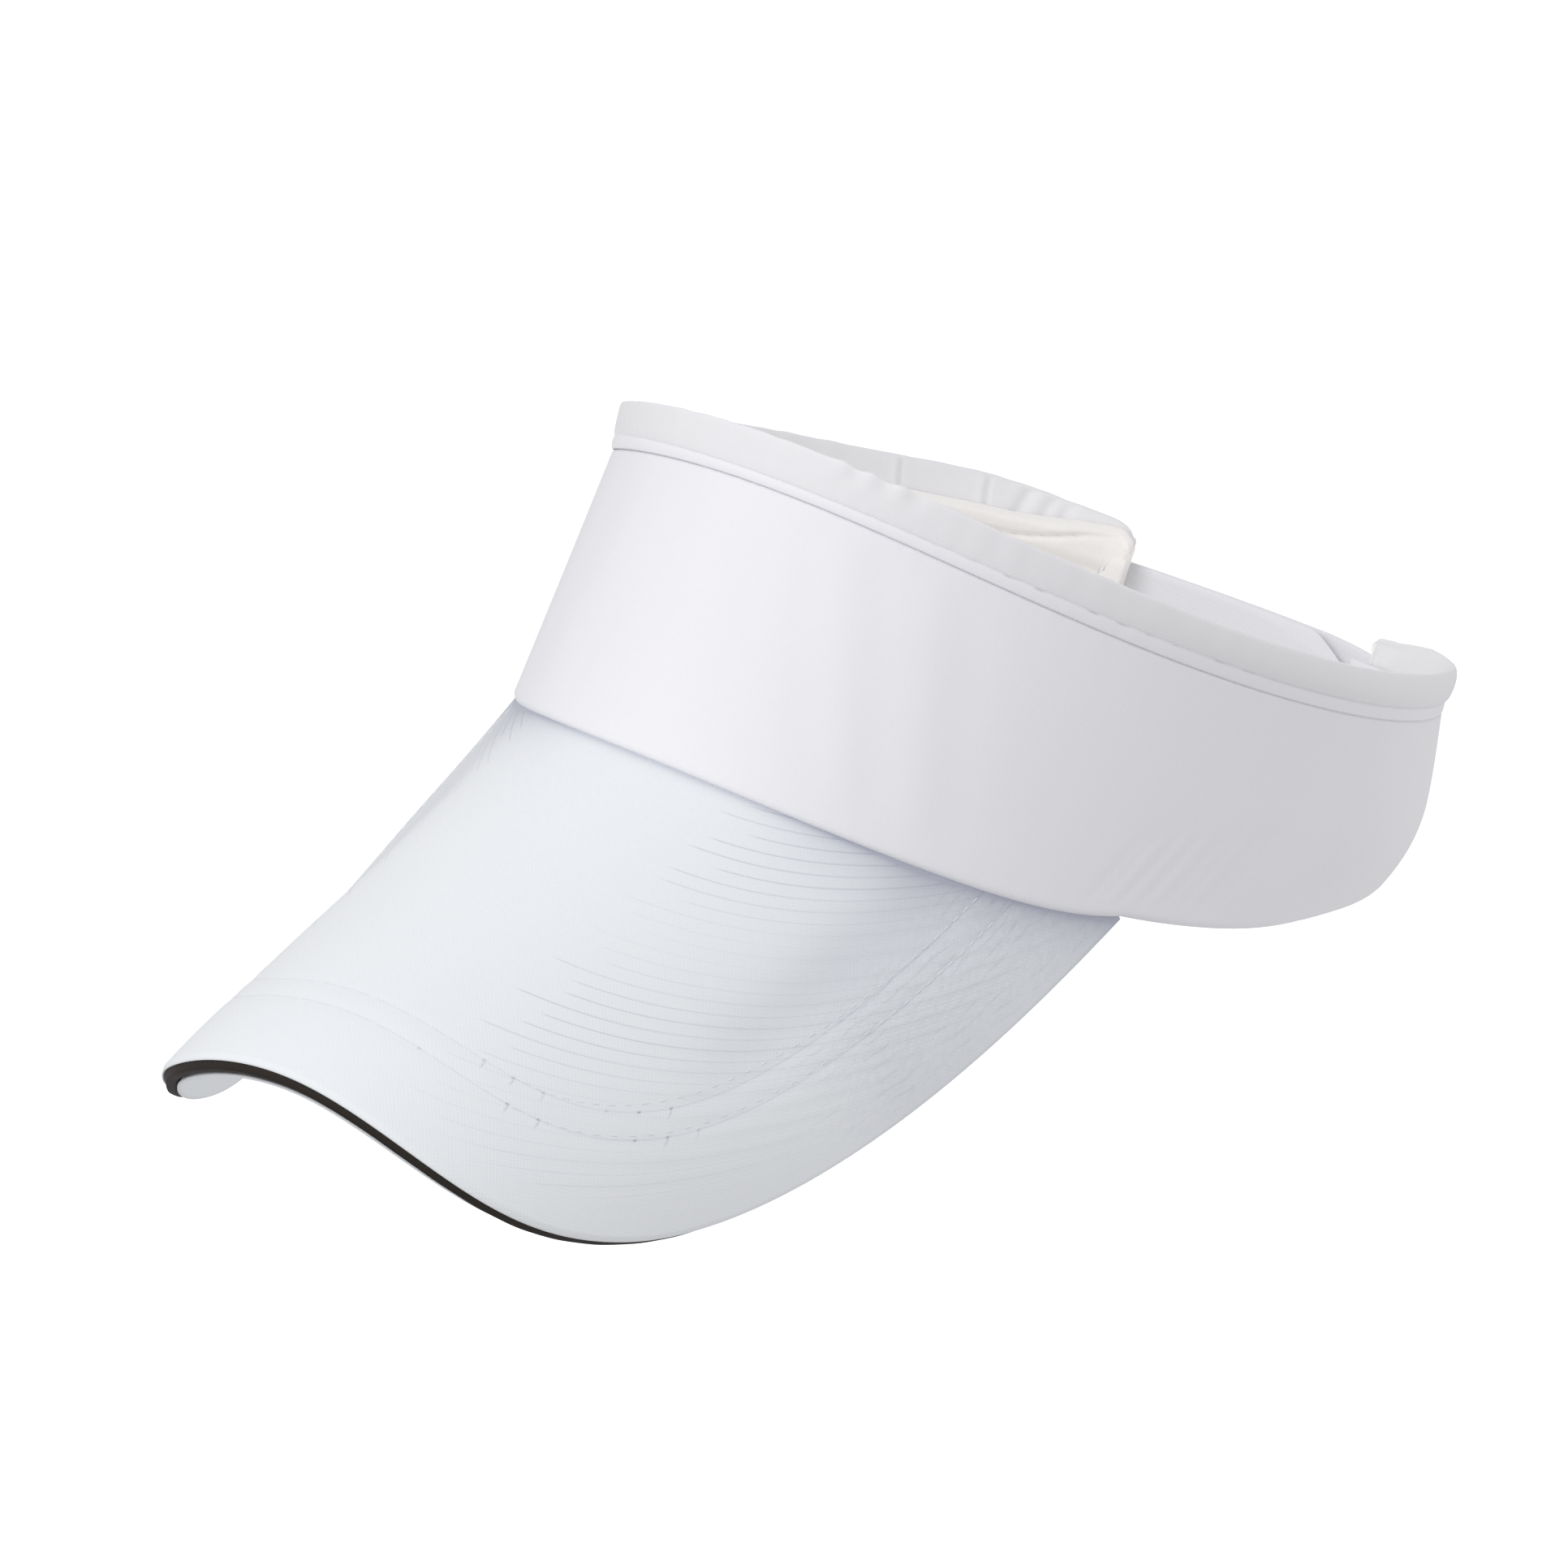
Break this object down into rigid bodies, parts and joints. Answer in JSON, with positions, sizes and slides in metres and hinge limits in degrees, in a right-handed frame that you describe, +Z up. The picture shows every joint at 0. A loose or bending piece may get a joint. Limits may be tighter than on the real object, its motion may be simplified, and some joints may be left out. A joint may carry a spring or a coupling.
{
  "type": "sun visor",
  "caption": "White cloth sun visor: long curved brim with a dark edge trim, a wide open-topped band with a bound top edge, and a touch-and-close strap at the back.",
  "frame": {"origin": "the middle of the head opening, level with the band's lower front edge", "axes": "+Z up through the open top as worn, -Y towards the brim, +X towards the wearer's left"},
  "size_m": [0.1647, 0.2945, 0.1412],
  "materials": {
    "white_cloth": "smooth white woven cloth, matte",
    "cream_cloth": "soft cream towelling cloth, matte",
    "dark_cloth": "near-black woven tape, matte",
    "thread": "white sewing thread",
    "foam": "soft foam",
    "buckram": "stiffened open-weave cloth",
    "board": "moulded sheet plastic",
    "fastener": "touch-and-close tape"
  },
  "bodies": {
    "crown": {"brim_upper_cover": "white_cloth", "brim_board": "board", "brim_lower_cover": "white_cloth", "sandwich_trim": "dark_cloth", "brim_stitch_outer": "thread", "brim_stitch_inner": "thread", "brim_seam_tape": "white_cloth", "crown_outer_panel": "white_cloth", "crown_buckram": "buckram", "crown_lining": "white_cloth", "sweatband_cover": "cream_cloth", "sweatband_foam": "foam", "top_binding": "white_cloth", "top_binding_stitch": "thread", "left_end_binding": "cream_cloth", "right_end_binding": "cream_cloth", "left_strap_root": "white_cloth", "left_root_stitching": "thread", "right_strap_root": "white_cloth", "right_root_stitching": "thread"},
    "left_strap": {"left_strap": "white_cloth", "hook_patch": "fastener"},
    "right_strap": {"right_strap": "white_cloth", "loop_patch": "fastener"}
  },
  "joints": [
    {"name": "left_strap_hinge", "type": "hinge", "parent": "crown", "child": "left_strap", "pos_m": [0.04184, 0.09156, 0.04049], "axis": [0.1054, 0.1646, -0.9807], "range_deg": [0, 100]},
    {"name": "right_strap_hinge", "type": "hinge", "parent": "crown", "child": "right_strap", "pos_m": [-0.02557, 0.09584, 0.04218], "axis": [-0.0824, 0.2182, -0.9724], "range_deg": [0, 50]}
  ]
}
